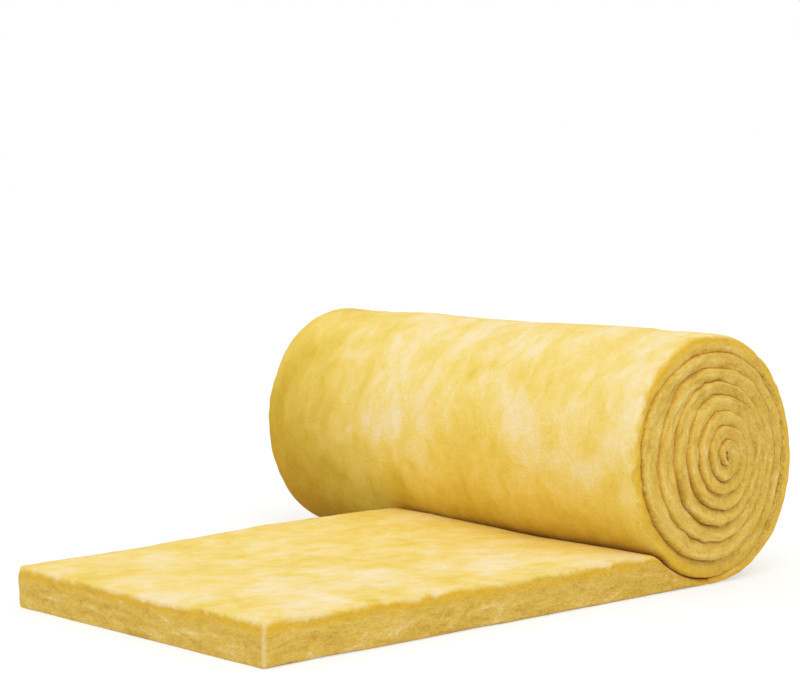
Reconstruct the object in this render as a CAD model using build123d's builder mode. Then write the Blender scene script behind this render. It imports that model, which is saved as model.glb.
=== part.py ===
# A mat of glass wool, wound into a roll with its loose end rolled out flat on the floor.
#
# The roll lies along Y and rests on the floor at Z 0. The tail runs out from under it towards -X, and
# the far strip of the tail has been cut away up to the roll. Seen from -Y, the mat comes in along the
# floor, passes under the roll, climbs its +X side, goes over the top and winds inwards.
#
# The turns are half circles about two centres, half a turn's thickness apart, one above the other.
# The half turns on the +X side belong to the lower centre and those on the -X side to the upper one,
# and two of them always meet straight above or below the centres with a common tangent.
from math import sqrt
import os

from build123d import *

# The mat, in millimetres
mat_width = 1200
tail_width = 800
tail_thickness = 88
tail_reach = 1240  # from the roll's lowest line to the tail's end
trimmed_reach = 40  # what is left of the cut strip in front of the roll's lowest line
edge_radius = 12

# The roll
turn_thickness = 32.5
turn_count = 8
eye_radius = 10
turn_slip = 5  # how far each turn has slid along the roll, out of the turn around it

# The grooves between the turns, on both ends
groove_width = 10
groove_depth = 16
groove_clearance = 20  # how far a groove's cutter stands out of the end

lower_radius = eye_radius + turn_count * turn_thickness
upper_radius = lower_radius - turn_thickness / 2
lower_centre = lower_radius
upper_centre = lower_radius + turn_thickness / 2

# The turns inside the outermost one make a low cone on the near end and a hollow one on the far end.
cone_radius = lower_radius - turn_thickness
cone_height = (turn_count - 1) * turn_slip

# The origin is the middle of the whole object's footprint, on the floor.
roll_x = (tail_reach - lower_radius) / 2
near_y = (cone_height - mat_width) / 2
far_y = near_y + mat_width

# Both ends are drawn as seen from -Y, with the roll's lowest line at 0, 0.
near_end = Plane(origin=(roll_x, near_y, 0), x_dir=(1, 0, 0), z_dir=(0, -1, 0))
far_end = Plane(origin=(roll_x, far_y, 0), x_dir=(1, 0, 0), z_dir=(0, -1, 0))
tail_far_side = near_end.offset(-tail_width)
near_cone_base = Plane(origin=(roll_x, near_y, lower_centre), x_dir=(1, 0, 0), z_dir=(0, -1, 0))
far_cone_base = near_cone_base.offset(-mat_width)
on_base = (Align.CENTER, Align.CENTER, Align.MIN)

# Where the outer face of the roll meets the top of the tail, in front of the roll's lowest line
nip_reach = sqrt(upper_radius**2 - (upper_centre - tail_thickness) ** 2)


def outer_face_height(reach):
    """Height of the roll's outer face above the floor, this far in front of its lowest line."""
    return upper_centre - sqrt(upper_radius**2 - reach**2)


def groove_around(turn, plane):
    """The groove along the outer face of one turn, where it lies against the turn around it."""
    inset = turn * turn_thickness
    with BuildSketch(plane) as band:
        with BuildLine():
            CenterArc((0, lower_centre), lower_radius - inset, -90, 180)
            CenterArc((0, upper_centre), upper_radius - inset, 90, 180)
        trace(line_width=groove_width)
    return band.sketch


def groove_under(reach, plane):
    """The groove between the roll and the flat mat under it, opening out just past the mat."""
    start = reach + groove_width
    with BuildSketch(plane) as band:
        with BuildLine():
            RadiusArc((-start, outer_face_height(start)), (0, turn_thickness), -upper_radius)
        trace(line_width=groove_width)
    return band.sketch


# The wound part, inside the outer face of its outermost turn, with its rims rounded
with BuildPart() as roll:
    with BuildSketch(near_end):
        with BuildLine():
            CenterArc((0, lower_centre), lower_radius, -90, 180)
            CenterArc((0, upper_centre), upper_radius, 90, 180)
            Line((0, turn_thickness), (0, 0))
        make_face()
    extrude(amount=-mat_width)
    fillet(roll.edges().filter_by(GeomType.CIRCLE), radius=edge_radius)

# The flat part, up to the roll's lowest line
with BuildPart() as tail:
    with BuildSketch(near_end):
        with Locations((-tail_reach, 0)):
            Rectangle(tail_reach, tail_thickness, align=(Align.MIN, Align.MIN))
    extrude(amount=-tail_width)
    joined_edges = tail.faces().sort_by(Axis.X)[-1].edges()
    fillet(tail.edges() - joined_edges, radius=edge_radius)

# What is left of the cut strip, tucked under the roll
with BuildPart() as trimmed_end:
    with BuildSketch(tail_far_side):
        with Locations((-trimmed_reach, 0)):
            Rectangle(
                trimmed_reach, outer_face_height(trimmed_reach), align=(Align.MIN, Align.MIN)
            )
    extrude(amount=tail_width - mat_width)
    outer_edge = trimmed_end.faces().sort_by(Axis.Y)[-1].edges().sort_by(Axis.Z)[0]
    fillet(outer_edge, radius=edge_radius)

# The whole mat, with the slipped turns and the grooves between them on both ends
with BuildPart() as glass_wool_mat:
    add(roll.part)
    add(tail.part)
    add(trimmed_end.part)
    with Locations(near_cone_base):
        Cone(cone_radius, eye_radius, cone_height, align=on_base)
    with Locations(far_cone_base):
        Cone(cone_radius, eye_radius, cone_height, align=on_base, mode=Mode.SUBTRACT)
    for turn in range(1, turn_count):
        slip = (turn - 1) * turn_slip
        near_floor = near_end.offset(slip - groove_depth)
        far_floor = far_end.offset(slip + groove_depth)
        cut_length = groove_depth + slip + groove_clearance
        extrude(groove_around(turn, near_floor), amount=cut_length, mode=Mode.SUBTRACT)
        extrude(groove_around(turn, far_floor), amount=-cut_length, mode=Mode.SUBTRACT)
    near_nip = groove_under(nip_reach, near_end.offset(-groove_depth))
    far_nip = groove_under(trimmed_reach, far_end.offset(groove_depth))
    extrude(near_nip, amount=groove_depth + groove_clearance, mode=Mode.SUBTRACT)
    extrude(far_nip, amount=-groove_depth - groove_clearance, mode=Mode.SUBTRACT)
    with BuildSketch(near_cone_base.offset(cone_height)):
        Circle(eye_radius)
    extrude(amount=-mat_width - cone_height, mode=Mode.SUBTRACT)

glass_wool_mat.part.label = "glass_wool_mat"
os.makedirs("parts", exist_ok=True)
export_step(glass_wool_mat.part, "parts/glass_wool_mat.step")
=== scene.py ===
import bpy
import bmesh
import math
from types import SimpleNamespace
import numpy as np
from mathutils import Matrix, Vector


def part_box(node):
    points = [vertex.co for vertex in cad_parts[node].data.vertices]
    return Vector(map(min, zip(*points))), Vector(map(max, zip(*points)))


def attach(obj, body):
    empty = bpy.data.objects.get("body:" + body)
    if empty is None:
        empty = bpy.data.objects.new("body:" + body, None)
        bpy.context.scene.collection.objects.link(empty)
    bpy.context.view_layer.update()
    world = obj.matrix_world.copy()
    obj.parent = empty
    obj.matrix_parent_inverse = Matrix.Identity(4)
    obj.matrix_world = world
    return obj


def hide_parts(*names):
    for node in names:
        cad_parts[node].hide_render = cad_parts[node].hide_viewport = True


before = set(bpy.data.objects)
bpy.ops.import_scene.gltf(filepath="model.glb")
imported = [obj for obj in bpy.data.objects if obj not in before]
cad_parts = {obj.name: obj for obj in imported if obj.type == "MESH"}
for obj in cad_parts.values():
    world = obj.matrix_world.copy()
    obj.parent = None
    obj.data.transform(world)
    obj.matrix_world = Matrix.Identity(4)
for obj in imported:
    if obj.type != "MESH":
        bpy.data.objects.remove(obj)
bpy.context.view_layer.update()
boxLow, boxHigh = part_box("glass_wool_mat")


latticeSize = 32  # values each way, after which a cloud repeats


def smoothStep(part):
    return part * part * (3 - 2 * part)


# Random values on a lattice, blended with a smooth step along each axis: lumps one unit wide, -1 to 1.
def cloud(seed, *axes):
    table = np.random.default_rng(seed).uniform(-1, 1, (latticeSize,) * 3)
    place = np.stack(np.broadcast_arrays(*axes, *[0.0] * (3 - len(axes))), axis=-1)
    cell = np.floor(place).astype(int)
    part = smoothStep(place - cell)
    total = np.zeros(place.shape[:-1])
    for corner in np.ndindex(2, 2, 2):
        weight = np.prod(np.where(corner, part, 1 - part), axis=-1)
        index = (cell + corner) % latticeSize
        total += weight * table[index[..., 0], index[..., 1], index[..., 2]]
    return total


# The sum of several clouds, each with its seed, its height and its size along each axis.
def cloudSum(clouds, *axes):
    return sum(
        height * cloud(seed, *[axis / size for axis, size in zip(axes, sizes)])
        for seed, height, *sizes in clouds
    )


# 0 before start, 1 past end, and a smooth step between them. It falls where end comes before start.
def fade(value, start, end):
    return smoothStep(np.clip((value - start) / (end - start), 0, 1))


# 1 at no distance, falling on both sides along a bell curve
def bell(distance, reach):
    return np.exp(-((distance / reach) ** 2))


# 1 at no distance, falling steeply at first and then slowly
def decay(distance, reach):
    return np.exp(-distance / reach)


# How far a face has drawn in, this far from a cut end that is rounded off by a quarter circle.
def roundOff(distance, radius):
    return radius - np.sqrt(np.maximum(radius**2 - np.maximum(radius - distance, 0) ** 2, 0))


# Sizes in metres. The overall ones come from the frame. Places on the roll are numbers of turns from its
# lowest line. A pair is where something starts and where it is complete, in turns unless it says that
# it is in metres.
mat = {
    # The mat and its course
    "width": 1.2,
    "tailWidth": 0.8,
    "tailThickness": 0.088,
    "stubReach": 0.04,  # what the cut strip leaves in front of the roll's lowest line
    "turnThickness": 0.0325,
    "turnCount": 8,
    "turnSlip": 0.005,  # each turn stands this much out of the one around it
    "turnGap": 0.0003,
    "endThickness": 0.012,  # of the mat's inner end, crushed in the eye
    "lastLine": 0.499,  # how far past the last turn its inner face is followed
    "nipSoftness": 0.012,  # how softly the tail's top bends down under the roll
    "clearHeight": 1.0,  # stands for no roll above the tail
    "sag": 0.0175,  # how far the roll settles into what lies under it
    "sagPower": 1.5,  # the greater it is, the more of that is at the very bottom
    "sagTurns": (3.2, 0.9),
    "settleStart": 0.5,  # in turns, so that the outer turn stays on the floor
    "turnSeed": 11,
    "turnWander": 0.0028,  # how uneven the turns are
    "wandersPerTurn": (5.3, 13.1),
    "fineWander": 0.6,  # the second of these, as a share of the first
    "turnWaves": 0.0020,
    "waveLength": 0.022,
    "wavyTurns": (1.6, 2.4),
    "looseTurns": (0.95, 1.3),
    "tightTurns": (8.4, 7.8),
    "squeezeStart": 1.5,  # in turns
    "outerSqueeze": 0.028,  # how much wider the second turn is on the -X side, which squeezes the first
    "outerSqueezeTurns": (2.5, 1.5),
    "coilSqueeze": 0.165,  # and how much narrower the inner turns are there
    "coilSqueezeTurns": (1.4, 4.4),
    "coilShift": 0.013,  # the middle of the coil is this much off the roll's axis, towards +X
    "coilShiftTurns": (3, 5.5),
    "eyeLift": 0.004,  # and this much above it
    # Its ends, corners and walls
    "nearSeed": 21,
    "farSeed": 61,
    "endRound": 0.005,
    "innerEndRound": 0.004,
    "farCornerAcross": 0.007,
    "farCornerThrough": 0.005,
    "rimAcross": (0.012, 0.006, 0.003, 0.09),  # a rim's size on the tail, what the roll adds, and the
    "rimThrough": (0.007, 0.002, 0.002, 0.07),  # height and length of its lumps
    "rimGrowth": (-0.25, 0.1),  # metres past the roll's lowest line
    "rimTurns": (0.9, 1.1),  # where the rim turns into the first groove
    "topRimFade": 0.2,  # how far in front of the roll's lowest line the top's rim starts to fade
    "grooveCorner": (0.0015, 0.0045),  # a closed groove's corner, and what an open one adds
    "grooveSlope": 0.35,  # a groove's depth across the mat, as a share of that
    "wallReach": 0.014,  # how far in from a cut side its roughness is felt
    "cutReach": 0.012,  # the same beside the cut strip
    "farWallFade": 0.03,  # how far in front of the cut strip the far side stops being rough
    "wallLayers": (  # seed, depth, length, thickness, shift from turn to turn, and width
        (31, 0.0018, 0.040, 0.013, 2.3, 0.05),
        (32, 0.0020, 0.020, 0.010, 1.7, 0.03),
        (33, 0.0018, 0.10, 0.030, 3.7, math.inf),
    ),
    "flatLayers": 0.5,  # the share of that which the tail lacks
    "nearSway": ((34, 0.0025, 0.16), (35, 0.0015, 0.07)),  # seed, height and length
    "farSway": ((36, 0.0025, 0.16), (37, 0.0015, 0.07)),
    "tailPuff": 0.0015,  # how far a wall stands out at the middle of its thickness
    "coilPuff": 0.0068,  # and what the coil adds, more below and less at its sides
    "puffBelow": 0.0015,  # as much less at its top
    "puffRight": 0.0038,
    "puffLeft": 0.0022,
    "crownShift": 0.50,  # how far a turn's crown moves towards its outer face
    "flatReach": 0.1,  # metres on both sides of the roll's lowest line, where flat turns into wound
    "coilTurns": (0.92, 1.15),
    # Its faces
    "skinLumps": ((41, 0.0028, 0.22, 0.15), (42, 0.0014, 0.08, 0.07), (43, 0.0006, 0.03, 0.025)),
    "topLumps": (-0.14, -0.22),  # metres past the roll's lowest line
    "barrelLumps": ((0.03, 0.1), (0.97, 0.88)),
    "endPokes": ((51, 0.0008, 0.040, 0.014), (52, 0.0008, 0.018, 0.010), (53, 0.0010, 0.12, 0.035)),
    "endCrown": 0.0012,
    "rollSwelling": (  # how much further out the roll's outer face is at numbers of turns
        (0, 0.04, 0.08, 0.135, 0.18, 0.25, 0.4, 0.5, 0.62, 0.75),
        (0, 0.003, 0.009, 0.0135, 0.0115, 0.005, 0.003, 0.0045, 0.002, 0),
    ),
    "swellingStart": 0.01,  # metres past the roll's lowest line
    "swellingNear": ((0.25, 0.4), (0.1, 0.7)),  # past these turns it fades out over these metres across
    "farSwelling": 0.014,  # how much thicker the tail's far side is near the roll
    "farSwellingPlace": ((0.3, 0.75), (0.15, 0.7)),  # metres across and along
    "farSag": 0.015,  # how much further the outer turn droops where the strip under it is cut away
    "farSagTurns": ((0.62, 0.86), (0.972, 0.945)),  # where it begins and where it ends
    "farSagAcross": (-0.02, 0.2),  # metres past the tail's far side
    # Its grooves
    "rightSide": (0.3, 0.9),  # of the coil, by the sine of its angle
    "openShare": 0.33,  # how far a groove stands open, and what the next four add
    "openBelow": 0.25,
    "openTwice": 0.10,  # both below and above
    "openRight": 0.38,
    "openWide": 0.40,
    "openPlaces": (1.78, 2.25, 3.48, 3.97, 4.5, 4.87, 7.0),  # turns where it stands wider open
    "openReach": 0.11,
    "openFirst": 0.30,  # what the first groove adds all the way round
    "openFirstTurns": ((2.2, 1.7), (1.05, 1.2)),
    "shutPlace": 1.02,  # where it leaves the tail it is nearly shut
    "shutShare": 0.65,
    "shutReach": 0.09,
    "openClouds": ((2, 0.20, 6.1), (3, 0.22, 33)),  # past the wall's seed, the height, how many to a turn
    "openLeast": 0.04,
    "narrowShare": 0.6,
    "outerShade": (0.0026, 0.0018),  # how far a groove's shade reaches on the turn inside it
    "innerShade": (0.0038, 0.0115),  # and on the turn around it
    "grooveHidden": 0.007,  # what of that turn the one inside it hides on the +X side
    # Its grid
    "alongStep": 0.0078,
    "acrossStep": 0.014,
    "halfSteps": 30,  # the fewest places along a half turn
    "endSteps": 7,
    "cornerSteps": 5,
    "wallSteps": 15,
    "wallBorder": 0.03,  # from the mat's side to the first column of a face
    "cutGap": 0.001,  # from the tail's far side to the first column of the far strip
    "faceBorder": (0, 0.006, 0.014),  # the first three columns at each side of a face
    "hiddenBorder": 0.03,  # what shows of the underside in front, at the tail's end and at the cut strip
    "hiddenStart": 0.02,  # how far past the cut strip the inner face starts to be hidden
    "hiddenTurn": 1.02,  # the turn from which the outer face is hidden too
    "roomAfterEnd": 0.004,  # the least distance from one row of places to the next
    "roomBeforeCut": 0.003,
    "roomAfterCut": 0.005,
    "roomBeforeRoll": 0.002,
    "roomBeforeInnerEnd": 0.001,
    "placeDigits": 6,  # of a place in metres, so that the ones two half turns share are equal
    "weldDistance": 1e-5,
}

rollRadius = (boxHigh.z - boxLow.z) / 2
rollX = boxHigh.x - rollRadius
flatLength = rollX - boxLow.x
nearY = boxHigh.y - mat["width"]
upperCentre = rollRadius + mat["turnThickness"] / 2
upperRadius = rollRadius - mat["turnThickness"] / 2
cutPlace = flatLength - mat["stubReach"]
halfCount = 2 * mat["turnCount"]
halfRadii = rollRadius - np.arange(halfCount + 1) * mat["turnThickness"] / 2
halfStarts = flatLength + np.pi * np.concatenate([[0], np.cumsum(halfRadii[:-1])])

# Where the tail's top meets the roll, as a place along the mat and as a number of turns. The roll is at
# its furthest out on the -X side at three quarters of a turn.
nipHeight = upperCentre - mat["tailThickness"]
nipPlace = flatLength - math.sqrt(upperRadius**2 - nipHeight**2)
nipTurn = 0.75 + math.asin(nipHeight / upperRadius) / (2 * np.pi)


# Number of turns wound so far, at a place along the mat's outer face.
def turnAt(along):
    half = np.clip(np.searchsorted(halfStarts, along, side="right") - 1, 0, halfCount - 1)
    return np.maximum((half + (along - halfStarts[half]) / (np.pi * halfRadii[half])) / 2, 0)


# A fade between two places, given as distances past another one.
def fadePast(along, place, distances):
    return fade(along, place + distances[0], place + distances[1])


# How far a line between turns has settled, where low is 0 at the height of its centre and 1 straight below.
def settled(turn, low):
    return mat["sag"] * fade(turn, *mat["sagTurns"]) * low ** mat["sagPower"]


# The line between two turns. Each half turn is a half circle, about the lower centre on the roll's +X
# side and the upper one on its -X side, and half a turn's thickness smaller than the one before.
# The inner turns are squeezed narrower, the lowest stretches settle, and the line wanders in and out.
def turnLine(turn):
    half = np.clip(np.floor(turn * 2), 0, halfCount).astype(int)
    odd = half % 2
    angle = np.pi * (turn * 2 - half + odd - 0.5)
    loose = fade(turn, *mat["looseTurns"]) * fade(turn, *mat["tightTurns"])
    seed = mat["turnSeed"]
    coarse, fine = mat["wandersPerTurn"]
    wander = cloud(seed, turn * coarse) + mat["fineWander"] * cloud(seed + 1, turn * fine)
    waves = cloud(seed + 2, turn * 2 * np.pi * halfRadii[half] / mat["waveLength"])
    waves = waves * fade(turn, *mat["wavyTurns"])
    radius = halfRadii[half] + loose * (mat["turnWander"] * wander + mat["turnWaves"] * waves)
    wider = mat["outerSqueeze"] * fade(turn, *mat["outerSqueezeTurns"])
    narrower = mat["coilSqueeze"] * fade(turn, *mat["coilSqueezeTurns"])
    squeezed = np.where(turn < mat["squeezeStart"], 1, odd * (wider - narrower) + 1)
    shift = mat["coilShift"] * fade(turn, *mat["coilShiftTurns"])
    x = rollX + shift + radius * squeezed * np.cos(angle)
    z = rollRadius + odd * mat["turnThickness"] / 2 + radius * np.sin(angle)
    z = z + mat["eyeLift"] * fade(turn, 1, mat["turnCount"])
    z = z - np.where(turn < mat["settleStart"], 0, settled(turn, np.maximum(-np.sin(angle), 0)))
    return np.stack([x, z], axis=-1), np.stack([-np.cos(angle), -np.sin(angle)], axis=-1)


# The mat's outer and inner faces at places along it. On the floor the outer face is the underside, and
# the inner one is the top, swollen by this much, which bends softly down where the roll lies on it.
def matFaces(along, turn, swollen=0.0):
    flat = np.minimum(along, flatLength)
    reach = flatLength - flat
    low = np.sqrt(np.maximum(1 - (reach / upperRadius) ** 2, 0))
    rollFace = upperCentre - upperRadius * low - settled(1, low) - mat["turnGap"]
    rollFace = np.where(reach < upperRadius, rollFace, mat["clearHeight"])
    full = mat["tailThickness"] + swollen
    crushed = (rollFace + full - np.sqrt((rollFace - full) ** 2 + mat["nipSoftness"] ** 2)) / 2
    outerFlat = np.stack([boxLow.x + flat, 0 * flat], axis=-1)
    innerFlat = np.stack([boxLow.x + flat, crushed], axis=-1)
    outerWound, inward = turnLine(turn)
    innerWound, _ = turnLine(np.minimum(turn + 1, mat["turnCount"] + mat["lastLine"]))
    innerWound = innerWound - inward * mat["turnGap"]
    lastHalf = mat["turnCount"] - 0.5
    share = fade(turn, lastHalf, mat["turnCount"])[..., None]
    endThickness = mat["turnThickness"] * (1 - share) + mat["endThickness"] * share
    innerWound = np.where(turn[..., None] < lastHalf, innerWound, outerWound + inward * endThickness)
    onFloor = (along < flatLength)[..., None]
    return np.where(onFloor, outerFlat, outerWound), np.where(onFloor, innerFlat, innerWound)


def thicknessAt(along):
    outer, inner = matFaces(along, turnAt(along))
    return np.linalg.norm(inner - outer, axis=-1)


# One wall of the mat's section, from its outer to its inner face, with a quarter ellipse at each corner,
# or where it is sharp a parabola: how far in from the side each point is, and its share of the thickness.
def wallProfile(along, outerCorner, innerCorner, outerSharp=0.0, innerSharp=0.0):
    step = np.linspace(0, 1, mat["cornerSteps"] + 1)
    rise = np.linspace(0, 1, mat["wallSteps"] + 1)[1:-1]
    thick = thicknessAt(along)[:, None]
    room = np.minimum(1, thick / mat["turnThickness"])

    def corner(size, sharp):
        inward = (1 - np.sin(step * np.pi / 2)) * (1 - sharp) + (1 - step) ** 2 * sharp
        onward = (1 - np.cos(step * np.pi / 2)) * (1 - sharp) + step * sharp
        return (size[0] + 0 * thick) * inward, size[1] * room * onward / thick

    outerAcross, outerThrough = corner(outerCorner, outerSharp)
    innerAcross, innerDepth = [part[:, ::-1] for part in corner(innerCorner, innerSharp)]
    innerThrough = 1 - innerDepth
    low, high = outerThrough[:, -1:], innerThrough[:, :1]
    across = np.hstack([outerAcross, 0 * rise * thick, innerAcross])
    through = np.hstack([outerThrough, low + rise * (high - low), innerThrough])
    return across, through


# 1 on the coil's +X side and 0 on the rest of it
def onRight(turn):
    return fade(np.sin(2 * np.pi * turn), *mat["rightSide"])


# How far the groove at a line between two turns stands open, from 0 to 1. The first one is open all the
# way round but for where it leaves the tail, and the others are open below the eye and on the +X side,
# less so on the rest, but here and there they open more widely.
def openness(turn, wallSeed):
    angle = 2 * np.pi * turn
    share = mat["openShare"] + mat["openBelow"] * np.cos(angle) + mat["openTwice"] * np.cos(2 * angle)
    share = share + mat["openRight"] * onRight(turn)
    wide = sum(bell(turn - place, mat["openReach"]) for place in mat["openPlaces"])
    share = share + mat["openWide"] * wide
    fades = [fade(turn, *turns) for turns in mat["openFirstTurns"]]
    share = share + mat["openFirst"] * fades[0] * fades[1]
    share = share * (1 - mat["shutShare"] * bell(turn - mat["shutPlace"], mat["shutReach"]))
    for past, height, count in mat["openClouds"]:
        share = share + height * cloud(wallSeed + past, turn * count)
    return np.clip(share, mat["openLeast"], 1)


# How dark the painted shade of the groove at a line is, this far from it: a narrow dip and a wide one
# together. It is as dark as it stands open on the near side.
def grooveShade(line, distance, narrow, wide):
    share = mat["narrowShare"]
    dip = share * bell(distance, narrow) + (1 - share) * decay(distance, wide)
    return openness(line, mat["nearSeed"]) * dip


# The soft corners of the mat's long sides: the barrel's rim, the grooves between the turns, and the
# corners of the tail.
def unevenWall(along, seed):
    where = along[:, None]
    turn = turnAt(where)
    inCoil = fade(turn, *mat["rimTurns"])
    onFloor = fade(where, flatLength, flatLength - mat["topRimFade"])

    def rimSize(sizes, lumpSeed):
        least, more, height, length = sizes
        grown = least + more * fadePast(where, flatLength, mat["rimGrowth"])
        return grown + height * cloud(lumpSeed, where / length)

    def grooveSize(line):
        least, more = mat["grooveCorner"]
        return least + more * openness(line, seed)

    rimAcross = rimSize(mat["rimAcross"], seed)
    rimDeep = rimSize(mat["rimThrough"], seed + 1)
    outerSize = grooveSize(turn)
    innerSize = grooveSize(turn + 1)
    outer = rimAcross * (1 - inCoil) + mat["grooveSlope"] * outerSize * inCoil
    outerDeep = rimDeep * (1 - inCoil) + outerSize * inCoil
    inner = rimAcross * onFloor + mat["grooveSlope"] * innerSize * (1 - onFloor)
    innerDeep = rimDeep * onFloor + innerSize * (1 - onFloor)
    return wallProfile(along, (outer, outerDeep), (inner, innerDeep), inCoil, 1 - onFloor)


# What the shapes and colours below go by, at each place in the mat: along, across, and through from 0 on
# the outer face to 1 on the inner one. To these it adds the number of turns, the height above the outer
# face, how near each cut is, from 0 to 1, and how far the skin is drawn in by the rounding of a cut end.
def readPlaces(along, across, through, wide, farWall):
    along, across, through = np.broadcast_arrays(along, across, through)
    turn = turnAt(along)
    swollenAcross, swollenAlong = mat["farSwellingPlace"]
    swollen = mat["farSwelling"] * fade(across, *swollenAcross) * fade(along, *swollenAlong)
    outer, inner = matFaces(along, turn, swollen)
    thick = np.linalg.norm(inner - outer, axis=-1)
    beyondCut = fade(across, mat["tailWidth"] - mat["cutReach"], mat["tailWidth"] + mat["cutReach"])
    drawn = roundOff(along, mat["endRound"])
    drawn = drawn + beyondCut * roundOff(np.maximum(along - cutPlace, 0), mat["endRound"])
    drawn = drawn + roundOff(halfStarts[-1] - along, mat["innerEndRound"])
    return SimpleNamespace(
        along=along,
        across=across,
        through=through,
        turn=turn,
        outer=outer,
        inner=inner,
        thick=thick,
        height=through * thick,
        drawn=drawn,
        nearWall=bell(across, mat["wallReach"]),
        otherWall=bell(wide - across, mat["wallReach"]) * farWall,
        endWall=bell(along, mat["wallReach"]),
        stepWall=bell(along - cutPlace, mat["cutReach"]) * beyondCut,
        onFlat=fade(along, flatLength + mat["flatReach"], flatLength - mat["flatReach"]),
        inCoil=fade(turn, *mat["coilTurns"]),
        onFloor=along < flatLength,
    )


# Where each place is across the whole object. Walls bulge and are combed along their layers, and draw in
# at a cut end, the sides sway, and each turn of the coil has slid a little out of the one around it.
def sideways(spot):
    layered = 0
    for seed, depth, length, layer, shift, width in mat["wallLayers"]:
        level = spot.height / layer + spot.turn * shift
        layered = layered + depth * cloud(seed, spot.along / length, level, spot.across / width)
    layered = layered * (1 - mat["flatLayers"] * spot.onFlat)
    crown = spot.through ** (1 - mat["crownShift"] * spot.inCoil)
    puffed = mat["coilPuff"] + mat["puffBelow"] * np.cos(2 * np.pi * spot.turn)
    puffed = puffed - mat["puffRight"] * onRight(spot.turn) - mat["puffLeft"] * onRight(spot.turn + 0.5)
    bulge = (1 - (2 * crown - 1) ** 2) * (mat["tailPuff"] + puffed * spot.inCoil)
    share = spot.across / mat["width"]
    nearSway, farSway = cloudSum(mat["nearSway"], spot.along), cloudSum(mat["farSway"], spot.along)
    shift = nearSway * (1 - share) + farSway * share
    shift = shift + spot.nearWall * (spot.drawn - bulge - layered)
    shift = shift + spot.otherWall * (bulge + layered - spot.drawn)
    return nearY + spot.across + shift - mat["turnSlip"] * np.maximum(spot.turn - 1, 0)


# Where each place is, given where it is across the object. Faces are quilted by soft lumps, the cut end is
# rough, the roll is fuller on one side, and its outer turn droops where the strip under it is cut away.
def unevenPlace(spot, side):
    through, turn, along = spot.through, spot.turn, spot.along
    level = spot.drawn / spot.thick + through * (1 - 2 * spot.drawn / spot.thick)
    lumps = cloudSum(mat["skinLumps"], along, spot.across)
    onTop = fadePast(along, flatLength, mat["topLumps"])
    onBarrel = np.prod([fade(turn, *turns) for turns in mat["barrelLumps"]], axis=0)
    poke = cloudSum(mat["endPokes"], spot.across, spot.height)
    poke = poke + mat["endCrown"] * (1 - (2 * through - 1) ** 2)
    nearTurns, nearAcross = mat["swellingNear"]
    fuller = np.interp(turn, *mat["rollSwelling"])
    fuller = fuller * (1 - fade(turn, *nearTurns) * fade(spot.across, *nearAcross))
    onRoll = fade(along, flatLength, flatLength + mat["swellingStart"])
    sagStart, sagEnd = mat["farSagTurns"]
    droop = mat["farSag"] * fade(turn, *sagStart) * fade(turn, *sagEnd) * (1 - through)
    droop = droop * fadePast(spot.across, mat["tailWidth"], mat["farSagAcross"])

    inward = (spot.inner - spot.outer) / spot.thick[..., None]
    ahead = np.stack([inward[..., 1], -inward[..., 0]], axis=-1)
    place = spot.outer + (spot.inner - spot.outer) * level[..., None]
    place = place + inward * (lumps * (through * onTop - (1 - through) * onBarrel))[..., None]
    place = place - inward * (fuller * (1 - through) * onRoll)[..., None]
    place = place - ahead * (spot.endWall * poke)[..., None]
    return np.stack([place[..., 0], side, np.maximum(place[..., 1] - droop, 0)], axis=-1)


# The colours that are painted by place, painted shade and painted highlights among them, in metres and
# turns as above
paint = {
    "nipReach": 0.024,  # how far the nip's painted shadow, in brown, runs up the roll
    "nipOnTail": 0.25,  # and out on the tail, as a share of that
    "nipTurns": (0.93, 0.90),
    "nipAcross": (0.05, -0.03),  # past the tail's far side
    "nipHeight": 0.006,  # below the tail's top
    "nipThrough": (0.3, 0),  # and the share of the turn's thickness
    "farBrownShade": 0.30,  # the same brown on the barrel's far end, as painted shade
    "farBrownShadeAcross": (0.7, 1.15),
    "farBrownShadeTurns": (0.55, 0.85),
    "leftTurns": (0.56, 0.72),  # from the roll's top to its -X side, called its left here
    "lowGoldShade": (  # how much deeper the barrel's gold is, this many turns from its top, partly as painted shade
        (0.08, 0.2, 0.3, 0.4, 0.5),
        (0, 0.01, 0.10, 0.32, 0.42),
    ),
    "lowGoldShadeNear": 0.85,  # the share of it at the near end, and what is added further off
    "lowGoldShadeFar": 0.3,
    "lowGoldShadeAcross": (0.15, 0.6),
    "farGoldShade": 0.14,  # painted shade as deeper gold at the far end, and what is added on the left
    "farGoldShadeLeft": 0.10,
    "farGoldShadeAcross": (0.8, 1.2),
    "rimHighlight": 0.05,  # a painted highlight: the barrel is this much paler beside its near rim
    "rimPlace": 0.015,
    "rimReach": 0.022,
    "tailDepth": 0.05,  # the tail's gold deepens this much towards the roll
    "tailDepthPlace": ((0.2, 1.0), (-0.3, 0.5)),  # along and across
    "nipGoldShade": 0.05,  # and this much beside the nip, as painted shade
    "nipGoldShadeReach": 0.05,
    "tailFarDepth": 0.04,  # and this much on its far side
    "tailFarAcross": (0.3, 0.8),
    "skinLap": 1.05,  # the skin's distance is multiplied by this on the roll
    "skinLapLeft": 0.30,  # and by this much less on its left, where the skin laps further
    "rimSkin": 0.004,  # elsewhere it laps this much less over the rim, and not over the turns inside it
    "rimSkinReach": (0, 0.006),
    "coilSkin": 0.03,
    "lowGold": 0.014,  # the gold under the skin is thinner low on the +X side
    "lowGoldTurns": (0.35, 0.1),
    "lowGoldReach": (0.006, 0.016),
    "endSkin": 0.004,  # the skin laps this much further over the tail's end
    "sideSkin": 0.002,  # and over its near side
    "nipSkin": 0.02,  # and the gold under it is thinner beside the nip
    "nipSkinStart": 0.12,
    "nipSkinReach": (0.006, 0.02),
    "sideShade": 0.15,  # painted shade in the crease's colour on the tail's near side, and what is added by the nip
    "sideShadeNip": 0.25,
    "sideShadeReach": 0.22,
    "endShade": 0.06,  # the same on the tail's end
    "rightShade": 0.30,  # and on the coil's +X side, a little further round than the grooves' own
    "rightShadeShift": 0.02,
}
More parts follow.
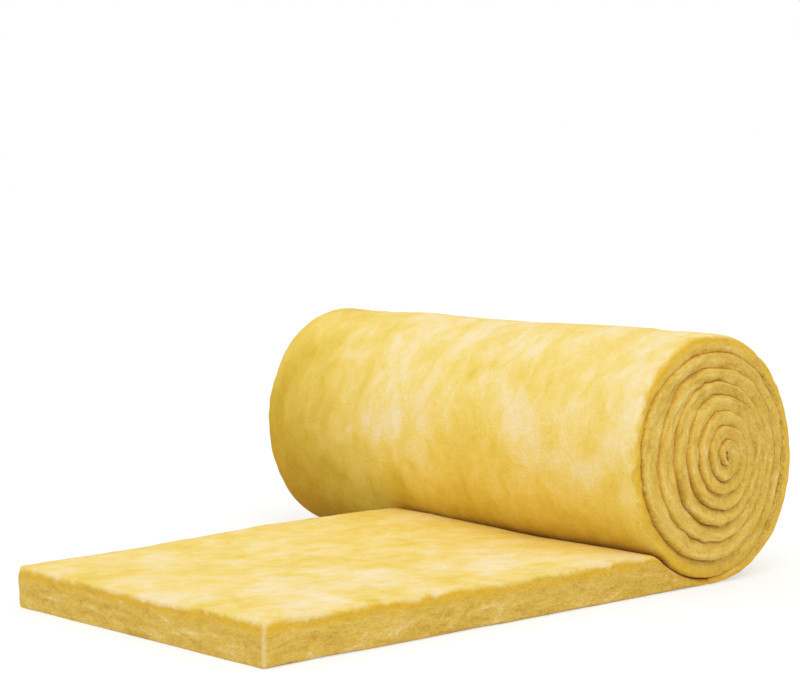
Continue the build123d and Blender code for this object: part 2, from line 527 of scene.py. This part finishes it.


# How much painted shadow a place gets by the nip, in brown, where light hardly comes in, and how much
# painted shade in the same brown it gets at the barrel's far end.
def nipAndFarShade(spot):
    onFloor, turn = spot.onFloor, spot.turn
    fromNip = np.where(onFloor, nipPlace - spot.along, (nipTurn - turn) * 2 * np.pi * upperRadius)
    nipReach = np.where(onFloor, paint["nipReach"] * paint["nipOnTail"], paint["nipReach"])
    nip = decay(np.maximum(fromNip, 0), nipReach) * fade(turn, *paint["nipTurns"])
    nip = nip * fadePast(spot.across, mat["tailWidth"], paint["nipAcross"])
    onTop = bell(spot.thick - spot.height, paint["nipHeight"])
    inNip = nip * np.where(onFloor, onTop, fade(spot.through, *paint["nipThrough"]))
    farBrownShade = paint["farBrownShade"] * fade(spot.across, *paint["farBrownShadeAcross"])
    farBrownShade = farBrownShade * fade(turn, *paint["farBrownShadeTurns"]) * (1 - spot.inCoil)
    return np.maximum(inNip, farBrownShade)


# How deep the skin's gold is: deepest low on the barrel, where it is partly painted shade, and at its far
# end, where it is painted shade; paler by a painted highlight beside the near rim; and a little deeper on
# the tail, towards the roll, on its far side and, as painted shade, beside the nip.
def skinGoldAndShade(spot):
    along, across = spot.along, spot.across
    roll = np.interp(np.abs(spot.turn - 0.5), *paint["lowGoldShade"])
    roll = roll * (paint["lowGoldShadeNear"] + paint["lowGoldShadeFar"] * fade(across, *paint["lowGoldShadeAcross"]))
    farGoldShade = paint["farGoldShade"] + paint["farGoldShadeLeft"] * fade(spot.turn, *paint["leftTurns"])
    roll = roll + farGoldShade * fade(across, *paint["farGoldShadeAcross"])
    roll = roll - paint["rimHighlight"] * bell(across - paint["rimPlace"], paint["rimReach"])
    deepAlong, deepAcross = paint["tailDepthPlace"]
    tail = paint["tailDepth"] * fade(along, *deepAlong) * fade(across, *deepAcross)
    tail = tail + paint["nipGoldShade"] * decay(np.maximum(nipPlace - along, 0), paint["nipGoldShadeReach"])
    tail = tail + paint["tailFarDepth"] * fade(across, *paint["tailFarAcross"])
    return np.where(spot.onFloor, tail, roll)


# How far a place is from the skin, which laps over the edges of the cut faces: from the tail's top and
# from the roll's outer face.
def skinDistance(spot):
    fromTop, fromOuter = spot.thick - spot.height, spot.height
    onLeft = fade(spot.turn, *paint["leftTurns"])
    roll = fromOuter * (paint["skinLap"] - paint["skinLapLeft"] * onLeft)
    roll = roll + paint["rimSkin"] * (1 - onLeft) * fade(fromOuter, *paint["rimSkinReach"])
    roll = roll + paint["coilSkin"] * spot.inCoil
    lowGold = fade(spot.turn, *paint["lowGoldTurns"]) * fade(fromOuter, *paint["lowGoldReach"])
    roll = roll + paint["lowGold"] * lowGold
    tail = fromTop + spot.drawn - paint["endSkin"] * spot.endWall
    tail = tail - paint["sideSkin"] * spot.nearWall * spot.onFlat
    atNip = fade(spot.along, nipPlace - paint["nipSkinStart"], nipPlace)
    tail = tail + paint["nipSkin"] * atNip * fade(fromTop, *paint["nipSkinReach"])
    return tail * spot.onFlat + roll * (1 - spot.onFlat)


# How much painted shade a place gets: in the grooves between the turns, and a thin painted shade on the
# tail's near side and end and on the coil's +X side.
def creaseShade(spot):
    hidden = mat["grooveHidden"] * onRight(spot.turn)
    fromGroove = np.maximum(spot.thick - spot.height - hidden, 0)
    outerLine = grooveShade(spot.turn, spot.height, *mat["outerShade"]) * spot.inCoil
    innerLine = grooveShade(spot.turn + 1, fromGroove, *mat["innerShade"]) * (1 - spot.onFlat)
    atNip = decay(np.abs(nipPlace - spot.along), paint["sideShadeReach"])
    sideShade = (paint["sideShade"] + paint["sideShadeNip"] * atNip) * spot.nearWall * spot.onFlat
    endShade = paint["endShade"] * spot.endWall
    rightShade = paint["rightShade"] * onRight(spot.turn + paint["rightShadeShift"]) * spot.inCoil
    return np.maximum.reduce([outerLine, innerLine, sideShade, endShade, rightShade])


# The uneven mat as a function of the place in it: each point, its place along, across and above the outer
# face, and what the colours go by. These are how near it is to a cut, how much painted shadow it gets by
# the nip and at the far end, and how much painted shade in a crease, and then how deep the skin's gold is,
# partly painted shade and highlight, and how far away the skin is.
def shapeMat(along, across, through, wide, farWall):
    spot = readPlaces(along, across, through, wide, farWall)
    points = unevenPlace(spot, sideways(spot))
    fibres = np.stack([spot.along, spot.across, spot.height], axis=-1)
    cut = np.maximum.reduce([spot.nearWall, spot.otherWall, spot.endWall, spot.stepWall])
    section = np.stack([cut, nipAndFarShade(spot), creaseShade(spot)], axis=-1)
    goldAndShade = skinGoldAndShade(spot)
    shade = np.stack([goldAndShade, skinDistance(spot), 0 * goldAndShade], axis=-1)  # a vector's third value is spare here
    return points, fibres, section, shade


# Columns across a face, closer together near both its sides.
def columnsBetween(start, end):
    border = np.array(mat["faceBorder"])
    count = int(round((end - start) / mat["acrossStep"]))
    return np.concatenate([start + border, np.linspace(start, end, count + 1)[2:-2], end - border[::-1]])


# Columns of a face where it shows. Where it lies hidden, on the floor or inside the coil, they are drawn
# together at its sides, so that few faces are left there once doubles are merged.
def faceColumns(along, columns, isOuter):
    onFloor = (along > mat["hiddenBorder"]) & (along < cutPlace - mat["hiddenBorder"])
    inCoil = turnAt(along) > mat["hiddenTurn"]
    hidden = onFloor | inCoil if isOuter else along > cutPlace + mat["hiddenStart"]
    middle = (columns[0] + columns[-1]) / 2
    return np.where(hidden, np.where(columns < middle, columns[0], columns[-1]), columns)


# Quads of a grid of points. A ring's last column is joined to its first.
def gridFaces(rows, columns, isRing):
    index = np.arange(rows * columns).reshape(rows, columns)
    after = np.roll(index, -1, axis=1)
    if not isRing:
        index, after = index[:, :-1], after[:, :-1]
    return np.stack([index[:-1], after[:-1], after[1:], index[1:]], axis=-1).reshape(-1, 4)


# Rings of sections, one at each place along the mat: up the near wall, over the inner face, down the far
# wall and back along the outer face.
def sectionRings(places, columns, wide, nearWall, otherWall, farWall):
    along = places[:, None]
    inner = faceColumns(along, columns, False)
    outer = faceColumns(along, columns, True)[:, ::-1]
    across = np.hstack([nearWall[0], inner, wide - otherWall[0][:, ::-1], outer])
    through = np.hstack([nearWall[1], 0 * inner + 1, otherWall[1][:, ::-1], 0 * outer])
    return shapeMat(along, across, through, wide, farWall), True


# A flat end between two walls of one section: each row runs from a point of one wall to its like on the
# other.
def flatEnd(place, columns, wide, leftWall, rightWall):
    share = np.linspace(0, 1, len(columns) + 2)
    through = leftWall[1][:, None] * (1 - share) + rightWall[1][:, None] * share
    middle = np.broadcast_to(faceColumns(place, columns, True), (len(through), len(columns)))
    across = np.column_stack([leftWall[0], middle, rightWall[0]])
    return shapeMat(place, across, through, wide, 1.0), False


# Places along the tail, up to where the far strip is cut away, and along the rest of the mat. They are
# closer together where an end is rounded off.
def placesAlong():
    quarter = 1 - np.cos(np.linspace(0, np.pi / 2, mat["endSteps"]))
    endRound, step = mat["endRound"], mat["alongStep"]
    tailPlaces = np.concatenate([
        endRound * quarter,
        np.arange(endRound + mat["roomAfterEnd"], cutPlace - mat["roomBeforeCut"], step),
        [cutPlace],
    ])
    halfTurns = [
        start + np.pi * radius * np.linspace(0, 1, max(mat["halfSteps"], int(np.pi * radius / step)))
        for start, radius in zip(halfStarts[:-1], halfRadii)
    ]
    coilPlaces = np.unique(np.round(np.concatenate(halfTurns), mat["placeDigits"]))
    innerEnd = halfStarts[-1] - mat["innerEndRound"] - mat["roomBeforeInnerEnd"]
    woundPlaces = np.concatenate([
        cutPlace + endRound * quarter,
        np.arange(cutPlace + endRound + mat["roomAfterCut"], flatLength - mat["roomBeforeRoll"], step),
        coilPlaces[coilPlaces < innerEnd],
        halfStarts[-1] - mat["innerEndRound"] * quarter[::-1],
    ])
    return tailPlaces, woundPlaces


# The whole mat as five grids that share their edges: rings of sections round the tail and round the
# wound part, and three flat ends. These are the tail's cut end, the step where the far strip is cut
# away, and the inner end in the eye.
def makeMat():
    tailWide, fullWide, border = mat["tailWidth"], mat["width"], mat["wallBorder"]
    tailPlaces, woundPlaces = placesAlong()
    nearColumns = columnsBetween(border, tailWide - border)
    farColumns = columnsBetween(tailWide + mat["cutGap"], fullWide - border)
    allColumns = np.concatenate([nearColumns, [tailWide - mat["farCornerAcross"]], farColumns])
    farCorner = mat["farCornerAcross"], mat["farCornerThrough"]
    tailNear = unevenWall(tailPlaces, mat["nearSeed"])
    tailFar = wallProfile(tailPlaces, farCorner, farCorner)
    woundNear = unevenWall(woundPlaces, mat["nearSeed"])
    woundFar = unevenWall(woundPlaces, mat["farSeed"])
    farWall = fade(tailPlaces, cutPlace, cutPlace - mat["farWallFade"])[:, None]

    def nearSide(wall, row):
        return wall[0][row], wall[1][row]

    def farSide(wall, row, wide):
        return wide - wall[0][row], wall[1][row]

    endWalls = nearSide(tailNear, 0), farSide(tailFar, 0, tailWide)
    stepWalls = farSide(tailFar, -1, tailWide), farSide(woundFar, 0, fullWide)
    innerWalls = nearSide(woundNear, -1), farSide(woundFar, -1, fullWide)
    return [
        sectionRings(tailPlaces, nearColumns, tailWide, tailNear, tailFar, farWall),
        sectionRings(woundPlaces, allColumns, fullWide, woundNear, woundFar, 1.0),
        flatEnd(0, nearColumns, tailWide, *endWalls),
        flatEnd(cutPlace, farColumns, fullWide, *stepWalls),
        flatEnd(halfStarts[-1], allColumns, fullWide, *innerWalls),
    ]


# Joins the grids into one closed mesh, with what the colours go by kept on its points.
def joinGrids(name, grids):
    points, fibres, section, shade, faces, count = [], [], [], [], [], 0
    for shaped, isRing in grids:
        rows, columns = shaped[0].shape[:2]
        faces.append(gridFaces(rows, columns, isRing) + count)
        count += rows * columns
        for kept, values in zip((points, fibres, section, shade), shaped):
            kept.append(values.reshape(-1, 3))
    mesh = bpy.data.meshes.new(name)
    mesh.from_pydata(np.concatenate(points), [], np.concatenate(faces))
    for label, values in ("fibres", fibres), ("section", section), ("shade", shade):
        layer = mesh.attributes.new(label, "FLOAT_VECTOR", "POINT")
        layer.data.foreach_set("vector", np.concatenate(values).astype(np.float32).ravel())
    build = bmesh.new()
    build.from_mesh(mesh)
    bmesh.ops.remove_doubles(build, verts=build.verts, dist=mat["weldDistance"])
    bmesh.ops.recalc_face_normals(build, faces=build.faces)
    loose = sum(len(edge.link_faces) != 2 for edge in build.edges)
    volume = build.calc_volume(signed=True)
    build.to_mesh(mesh)
    build.free()
    mesh.shade_smooth()
    piece = bpy.data.objects.new(name, mesh)
    bpy.context.scene.collection.objects.link(piece)
    mesh.calc_loop_triangles()
    print(f"{name} {len(mesh.loop_triangles)} triangles, {loose} open edges, {volume:.4f} cubic metres")
    return piece


woolMat = joinGrids("woolMat", makeMat())


# sRGB hex to linear colour
def linearColour(hexText):
    parts = [int(hexText[i : i + 2], 16) / 255 for i in (1, 3, 5)]
    return [c / 12.92 if c <= 0.04045 else ((c + 0.055) / 1.055) ** 2.4 for c in parts] + [1.0]


# Adds a node with its settings, and gives its inputs, in order, a value or another node's output. Returns
# its first output.
def addNode(tree, kind, *values, **settings):
    node = tree.nodes.new("ShaderNode" + kind)
    for name, value in settings.items():
        setattr(node, name, value)
    for socket, value in zip([socket for socket in node.inputs if socket.enabled], values):
        if isinstance(value, bpy.types.NodeSocket):
            tree.links.new(value, socket)
        else:
            socket.default_value = value
    return next((socket for socket in node.outputs if socket.enabled), None)


# Each pattern has its real size in millimetres along the mat, across it and through it, its detail, how
# rough it is and how much it is warped. A fibre is a few thousandths of a millimetre thick, far too fine to
# be drawn, so the finest patterns are tangles of fibres 4.5 to 6.5 mm wide, coarser than the real ones.
wool = {
    "patterns": {
        "drifts": ((160, 120, 100), 2.0, 0.5, 0.5),
        "clumps": ((58, 45, 40), 2.0, 0.55, 0.7),
        "wisps": ((30, 14, 12), 3.0, 0.6, 1.0),
        "tufts": ((16, 14, 10), 3.0, 0.6, 0.4),
        "patches": ((70, 70, 22), 2.0, 0.5, 0.8),
        "flecks": ((10, 10, 5.8), 3.0, 0.65, 0.8),
        "grain": ((6.5, 5.5, 4.5), 2.0, 0.6, 0.0),
    },
    "finerBy": 2.0,  # how much finer each step of a pattern's detail is
    "skinMix": {"drifts": 0.38, "clumps": 0.27, "wisps": 0.13, "grain": 0.05},
    "skinShift": 0.085,
    "skinStops": (
        (0.36, "#FDEBC8"), (0.44, "#FBE6AF"), (0.51, "#F9DF8B"),
        (0.60, "#F4D566"), (0.78, "#DFBF42"), (1.0, "#C49C16"),
    ),
    "cutMix": {"patches": 0.50, "tufts": 0.18, "flecks": 0.32},
    "cutStops": (
        (0.36, "#CEA648"), (0.44, "#DFB850"), (0.50, "#E7C25A"), (0.57, "#EDCA68"), (0.66, "#F6DE9A"),
    ),
    "edgeGold": "#EBBC30",
    # the colour of a painted highlight down the tail's near corner
    "cornerHighlight": "#FBE3AE",
    # the colours of the painted shade in grooves and creases, and of the painted shadow by the nip
    "creaseShade": "#B48A14",
    "nipShade": "#B47608",
    "raggedMix": {"clumps": 0.022, "tufts": 0.005},
    # For each of these, where it starts and ends, and its share at the start and at the end
    "goldUnderSkin": (0.036, 0.012, 0.0, 0.9),  # metres from the skin
    "goldPatches": (0.38, 0.56, 0.45, 1.0),
    "cornerHighlightFade": (0.008, 0.020, 0.70, 0.0),  # a painted highlight, in metres from the tail's near end
    "cutWall": (0.06, 0.30, 0.0, 1.0),
    "pastSkin": (-0.001, 0.012, 0.0, 1.0),  # metres from the skin
    "brokenCrease": (0.35, 0.60, 0.9, 0.25),
    # how ragged the painted highlight's edge is
    "highlightFlecks": 0.022,
    "roughness": 0.95,
    "specular": 0.10,
    "sheen": 0.05,
    "skinBump": 0.0044,
    "cutBump": 0.0075,
    "cutGrain": 0.25,
    "bumpDistance": 1.0,
}


# Glass wool: fibres of spun glass in yellow binder, laid down as a felt. Matt and cloudy, paler where
# it is loose and more golden where it is dense. Its cut faces are mustard and mottled, and richest just
# under the skin, which laps over their edges. Painted shade darkens it in its creases, by the nip and at
# the barrel's far end, and deepens its gold low on the barrel. Painted highlights lie beside the roll's
# near rim and down the tail's near corner.
def makeWool():
    material = bpy.data.materials.new("spunGlassWool")
    material.use_nodes = True
    tree = material.node_tree
    tree.nodes.clear()
    places = {
        name: addNode(tree, "Attribute", attribute_name=name).node.outputs["Vector"]
        for name in ("fibres", "section", "shade")
    }
    cut, inNip, crease = addNode(tree, "SeparateXYZ", places["section"]).node.outputs
    goldAndShade, fromSkin, _ = addNode(tree, "SeparateXYZ", places["shade"]).node.outputs
    along, across, _ = addNode(tree, "SeparateXYZ", places["fibres"]).node.outputs

    pattern = {}
    for name, (size, detail, roughness, warp) in wool["patterns"].items():
        metres = [part / 1000 for part in size]
        place = addNode(tree, "VectorMath", places["fibres"], metres, operation="DIVIDE")
        pattern[name] = addNode(tree, "TexNoise", place, 1.0, detail, roughness, wool["finerBy"], warp)

    def addPatterns(total, mix):
        for name, share in mix.items():
            total = addNode(tree, "Math", pattern[name], share, total, operation="MULTIPLY_ADD")
        return total

    def rampOf(value, stops):
        shade = addNode(tree, "ValToRGB", value)
        band = shade.node.color_ramp
        while len(band.elements) < len(stops):
            band.elements.new(1.0)
        for element, (place, colour) in zip(band.elements, stops):
            element.position = place
            element.color = linearColour(colour)
        return shade

    # The skin's clouds, with its gold deepened by painted shade low on the barrel, at its far end and by
    # the nip, and paled by a painted highlight beside the near rim
    cloudy = addPatterns(addNode(tree, "Math", goldAndShade, wool["skinShift"]), wool["skinMix"])
    mottled = addPatterns(0.0, wool["cutMix"])
    skin = rampOf(cloudy, wool["skinStops"])
    face = rampOf(mottled, wool["cutStops"])

    ragged = addPatterns(fromSkin, wool["raggedMix"])
    ragged = addNode(tree, "Math", ragged, sum(wool["raggedMix"].values()) / 2, operation="SUBTRACT")
    rich = addNode(tree, "MapRange", ragged, *wool["goldUnderSkin"], interpolation_type="SMOOTHSTEP")
    patchy = addNode(tree, "MapRange", pattern["patches"], *wool["goldPatches"])
    rich = addNode(tree, "Math", rich, patchy, operation="MULTIPLY")
    face = addNode(tree, "Mix", rich, face, linearColour(wool["edgeGold"]), data_type="RGBA")
    # A painted highlight down the tail's near upright corner, with a ragged edge
    fromCorner = addNode(tree, "Math", along, across, operation="MAXIMUM")
    fromCorner = addPatterns(fromCorner, {"flecks": wool["highlightFlecks"]})
    highlighted = addNode(tree, "MapRange", fromCorner, *wool["cornerHighlightFade"], interpolation_type="SMOOTHSTEP")
    face = addNode(tree, "Mix", highlighted, face, linearColour(wool["cornerHighlight"]), data_type="RGBA")

    isWall = addNode(tree, "MapRange", cut, *wool["cutWall"])
    cutShare = addNode(tree, "MapRange", ragged, *wool["pastSkin"], interpolation_type="SMOOTHSTEP")
    cutShare = addNode(tree, "Math", cutShare, isWall, operation="MULTIPLY")
    colour = addNode(tree, "Mix", cutShare, skin, face, data_type="RGBA")
    # Painted shade in the crease colour, in the grooves between the turns, on the tail's near side and end
    # and on the coil's +X side, broken up by flecks
    broken = addNode(tree, "MapRange", pattern["flecks"], *wool["brokenCrease"])
    creased = addNode(tree, "Math", crease, broken, operation="MULTIPLY")
    colour = addNode(tree, "Mix", creased, colour, linearColour(wool["creaseShade"]), data_type="RGBA")
    # Painted shadow in brown by the nip, and painted shade in the same brown at the barrel's far end
    colour = addNode(tree, "Mix", inNip, colour, linearColour(wool["nipShade"]), data_type="RGBA")

    skinHeight = addNode(tree, "Math", pattern["grain"], pattern["tufts"], operation="ADD")
    skinHeight = addNode(tree, "Math", skinHeight, wool["skinBump"] / 2, operation="MULTIPLY")
    cutHeight = addPatterns(mottled, {"grain": wool["cutGrain"]})
    cutHeight = addNode(tree, "Math", cutHeight, wool["cutBump"], operation="MULTIPLY")
    bump = addNode(tree, "Bump").node
    bump.inputs["Distance"].default_value = wool["bumpDistance"]
    tree.links.new(addNode(tree, "Mix", cutShare, skinHeight, cutHeight), bump.inputs["Height"])
    shader = addNode(tree, "BsdfPrincipled", colour).node
    shader.inputs["Roughness"].default_value = wool["roughness"]
    shader.inputs["Specular IOR Level"].default_value = wool["specular"]
    shader.inputs["Sheen Weight"].default_value = wool["sheen"]
    tree.links.new(bump.outputs[0], shader.inputs["Normal"])
    addNode(tree, "OutputMaterial", shader.outputs[0])
    return material


woolMat.data.materials.append(makeWool())
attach(woolMat, "root")
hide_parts("glass_wool_mat")
print("mat placed")


studio = {
    "floorSize": 60.0,
    "floorColour": "#EDEDED",
    "floorSeen": "#B4B4B4",  # its colour to the camera and reflections
    "floorLift": 0.58,  # and the light that makes it look white to them
    "white": "#FFFFFF",
    "backdropStrength": 1.0,  # of the sky to the camera and reflections
    "skyStrength": 0.80,  # and to the mat
    "sunStrength": 0.85,
    "sunAngle": 45,  # degrees, and so a soft shadow
    "sunFrom": (-0.45, -0.55, 1.0),
    "eye": (-3.430, -3.8815, 0.944),
    "turn": -42.37,  # degrees
    "tip": 4.65,  # degrees below level
    "lens": 107.0,  # millimetres
}


# 1 for rays from the camera or by way of a gloss or a clear thing, so that they see the pale backdrop.
def seenDirectly(tree):
    rays = addNode(tree, "LightPath").node.outputs
    either = addNode(tree, "Math", rays["Is Camera Ray"], rays["Is Glossy Ray"], operation="MAXIMUM")
    return addNode(tree, "Math", either, rays["Is Transmission Ray"], operation="MAXIMUM")


# A white paper backdrop, as a floor that shows the mat's soft shadow and looks nearly white itself
def makeFloor():
    half = studio["floorSize"] / 2
    corners = [(-half, -half, 0), (half, -half, 0), (half, half, 0), (-half, half, 0)]
    mesh = bpy.data.meshes.new("floor")
    mesh.from_pydata(corners, [], [(0, 1, 2, 3)])
    floor = bpy.data.objects.new("floor", mesh)
    bpy.context.scene.collection.objects.link(floor)
    material = bpy.data.materials.new("paperBackdrop")
    material.use_nodes = True
    tree = material.node_tree
    tree.nodes.clear()
    seen = seenDirectly(tree)
    plain, shown, white = [linearColour(studio[name]) for name in ("floorColour", "floorSeen", "white")]
    paper = addNode(tree, "BsdfDiffuse", addNode(tree, "Mix", seen, plain, shown, data_type="RGBA"))
    lift = addNode(tree, "Math", seen, studio["floorLift"], operation="MULTIPLY")
    both = addNode(tree, "AddShader", paper, addNode(tree, "Emission", white, lift))
    addNode(tree, "OutputMaterial", both)
    mesh.materials.append(material)


# An even sky, and a broad sun high up on the camera's side
def makeLight():
    world = bpy.data.worlds.new("sky")
    world.use_nodes = True
    tree = world.node_tree
    tree.nodes.clear()
    strengths = studio["skyStrength"], studio["backdropStrength"]
    strength = addNode(tree, "MapRange", seenDirectly(tree), 0.0, 1.0, *strengths)
    addNode(tree, "OutputWorld", addNode(tree, "Background", linearColour(studio["white"]), strength))
    bpy.context.scene.world = world

    light = bpy.data.lights.new("sun", "SUN")
    light.energy = studio["sunStrength"]
    light.angle = math.radians(studio["sunAngle"])
    sun = bpy.data.objects.new("sun", light)
    sun.rotation_euler = Vector(studio["sunFrom"]).to_track_quat("Z", "Y").to_euler()
    bpy.context.scene.collection.objects.link(sun)


# The camera, fitted to the outlines that the photograph shows
def makeCamera():
    camera = bpy.data.objects.new("camera", bpy.data.cameras.new("camera"))
    camera.data.lens = studio["lens"]
    camera.location = studio["eye"]
    camera.rotation_euler = (math.radians(90 - studio["tip"]), 0, math.radians(studio["turn"]))
    bpy.context.scene.collection.objects.link(camera)
    bpy.context.scene.camera = camera
    bpy.context.scene.view_settings.view_transform = "Standard"


makeFloor()
makeLight()
makeCamera()
print("studio ready")
